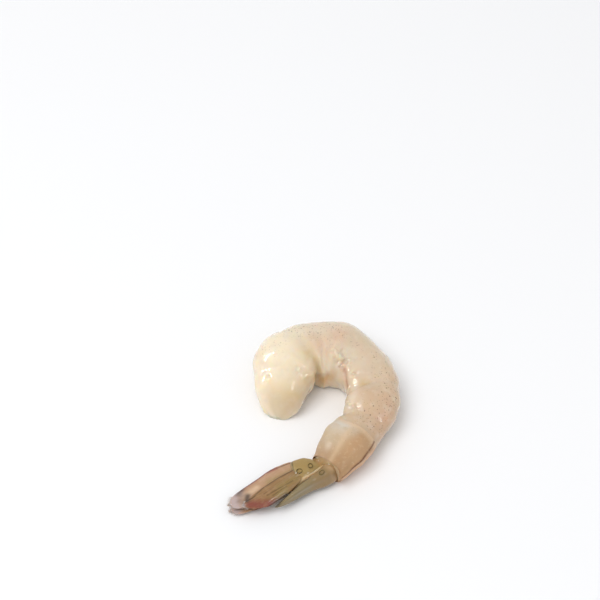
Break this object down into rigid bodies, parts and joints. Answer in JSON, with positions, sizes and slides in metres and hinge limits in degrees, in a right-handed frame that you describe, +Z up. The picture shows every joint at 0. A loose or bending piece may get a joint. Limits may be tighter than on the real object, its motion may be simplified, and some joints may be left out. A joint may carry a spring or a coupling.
{
  "type": "raw peeled shrimp",
  "caption": "Raw whiteleg shrimp without its head, curled into a C on its side, peeled except for the last segment's shell and the tail fan.",
  "frame": {"origin": "on the board that the shrimp lies on, under the middle of its box", "axes": "+Z up from the board; the body arches over to +Y, its cut front end and its tail fan point to -Y, and the fan's tip is at -X; the shrimp lies on its right side, so the left side faces up"},
  "size_m": [0.0464, 0.0594, 0.0147],
  "materials": {
    "flesh": "raw flesh, cloudy cream, soft and wet, with a sharp wet shine",
    "shell": "thin clear tan shell over the flesh, wet",
    "telson": "grey tan shell with small brown spots, wet",
    "base": "yellow brown shell, wet",
    "outer_blade": "thin tan shell with a reddish edge and a clear grey tip, wet",
    "inner_blade": "thin brown shell with a pink edge, wet"
  },
  "bodies": {
    "root": {"meat": "flesh", "last_segment_shell": "shell", "telson": "telson", "protopod_upper": "base", "protopod_lower": "base", "exopod_upper": "outer_blade", "exopod_lower": "outer_blade", "endopod_upper": "inner_blade", "endopod_lower": "inner_blade"}
  },
  "joints": []
}
